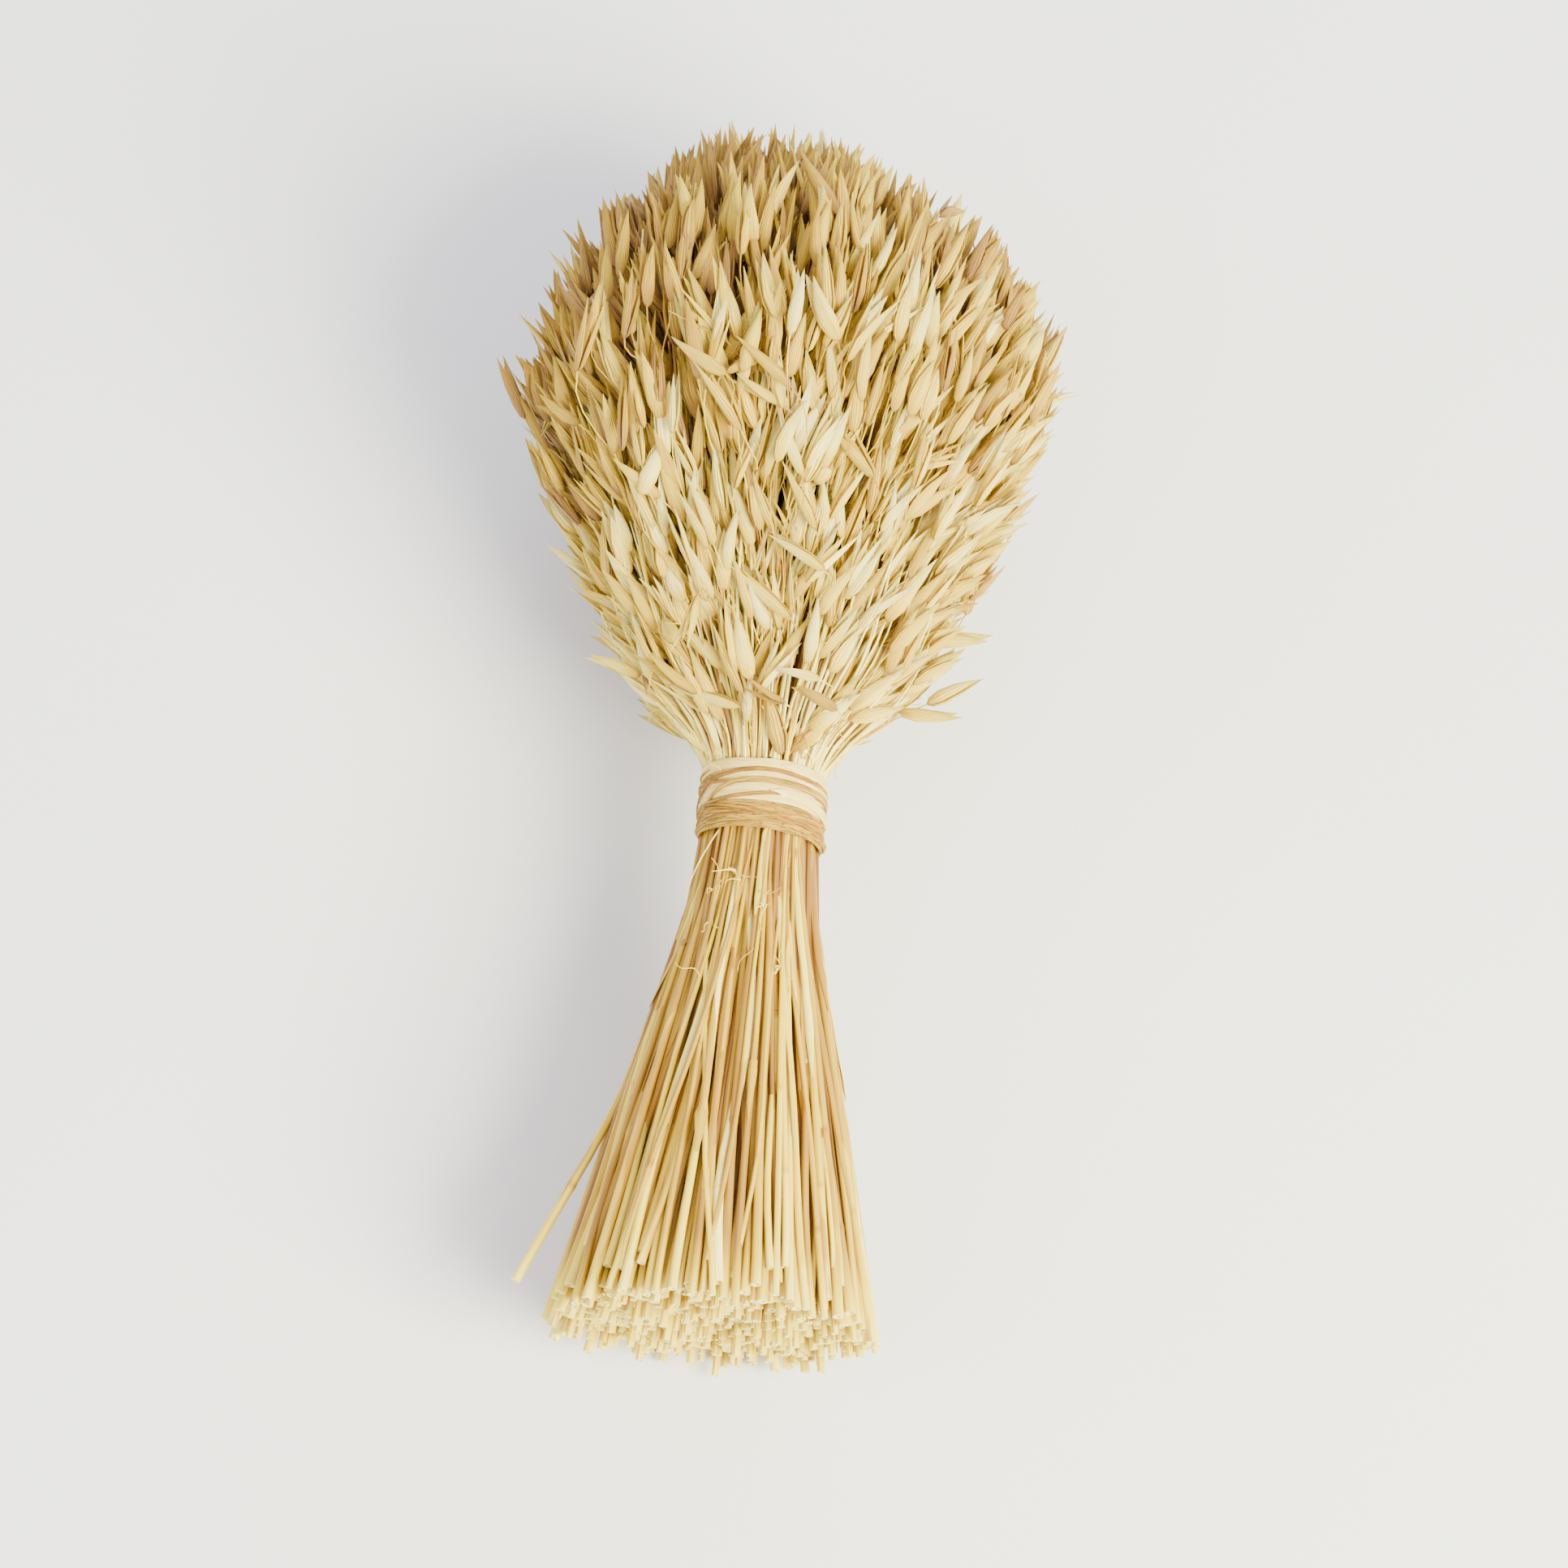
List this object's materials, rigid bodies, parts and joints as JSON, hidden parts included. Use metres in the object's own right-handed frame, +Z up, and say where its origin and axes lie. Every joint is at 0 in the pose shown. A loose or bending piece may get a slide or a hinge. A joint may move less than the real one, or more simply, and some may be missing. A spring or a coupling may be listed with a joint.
{
  "type": "bundle of dried oats",
  "caption": "Bundle of cut dried oat stalks lying on its side, a full head of papery spikelets above a tied waist and a flared skirt of bare straws below.",
  "frame": {"origin": "centre of the bounding box's bottom face, on the floor under the bundle", "axes": "+Y along the bundle from the cut ends to the heads, +X across it, +Z up"},
  "size_m": [0.2054, 0.4724, 0.1943],
  "materials": {
    "straw": "smooth satin dried straw",
    "oat_head": "matt papery glumes with fine veins",
    "ribbon": "matt crinkled pale ribbon",
    "raffia": "fibrous satin raffia"
  },
  "bodies": {
    "root": {"straws_outer_1": "straw", "straws_outer_2": "straw", "straws_outer_3": "straw", "straws_outer_4": "straw", "straws_outer_5": "straw", "straws_outer_6": "straw", "straws_outer_7": "straw", "straws_outer_8": "straw", "straws_outer_9": "straw", "straws_outer_10": "straw", "straws_outer_11": "straw", "straws_outer_12": "straw", "straws_outer_13": "straw", "straws_outer_14": "straw", "straws_outer_15": "straw", "straws_outer_16": "straw", "straws_middle_1": "straw", "straws_middle_2": "straw", "straws_middle_3": "straw", "straws_middle_4": "straw", "straws_middle_5": "straw", "straws_middle_6": "straw", "straws_middle_7": "straw", "straws_middle_8": "straw", "straws_centre": "straw", "heads_outer_1": "oat_head", "heads_outer_2": "oat_head", "heads_outer_3": "oat_head", "heads_outer_4": "oat_head", "heads_outer_5": "oat_head", "heads_outer_6": "oat_head", "heads_outer_7": "oat_head", "heads_outer_8": "oat_head", "heads_outer_9": "oat_head", "heads_outer_10": "oat_head", "heads_outer_11": "oat_head", "heads_outer_12": "oat_head", "heads_outer_13": "oat_head", "heads_outer_14": "oat_head", "heads_outer_15": "oat_head", "heads_outer_16": "oat_head", "heads_middle_1": "oat_head", "heads_middle_2": "oat_head", "heads_middle_3": "oat_head", "heads_middle_4": "oat_head", "heads_middle_5": "oat_head", "heads_middle_6": "oat_head", "heads_middle_7": "oat_head", "heads_middle_8": "oat_head", "heads_centre": "oat_head", "tie_ribbon": "ribbon", "tie_strand": "raffia", "tie_wrap": "raffia"}
  },
  "joints": []
}
